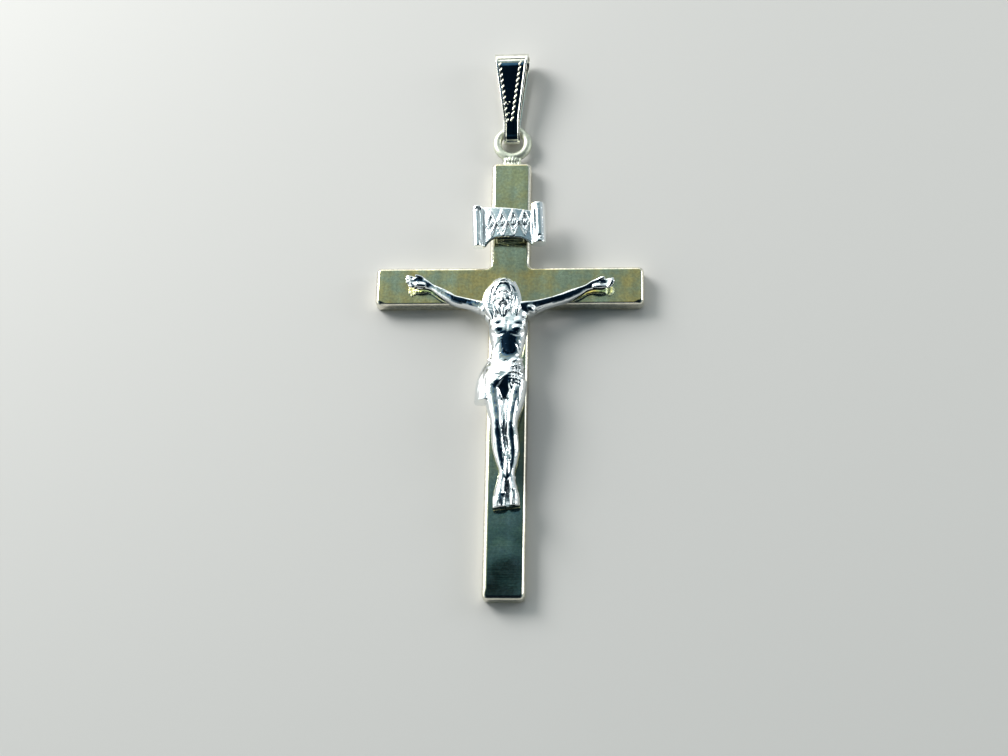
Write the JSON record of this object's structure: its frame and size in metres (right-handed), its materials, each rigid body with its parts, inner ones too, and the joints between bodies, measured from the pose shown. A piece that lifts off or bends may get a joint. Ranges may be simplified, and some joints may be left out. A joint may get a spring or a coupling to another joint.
{
  "type": "crucifix pendant",
  "caption": "Polished flat bar cross with a cast corpus and a scroll on its face, a soldered ring at its top and a tapered folded bail for a chain.",
  "frame": {"origin": "crossing centre of the two bars, on the flat back face that it lies on", "axes": "+X to the right arm, +Y up the cross to the bail, +Z out of the front"},
  "size_m": [0.0266, 0.058, 0.0044],
  "materials": {
    "gilt_plate": "polished",
    "gilt_strip": "polished",
    "white_casting": "polished"
  },
  "bodies": {
    "root": {"cross": "gilt_plate", "bail": "gilt_strip", "scroll": "white_casting", "corpus": "white_casting"}
  },
  "joints": []
}
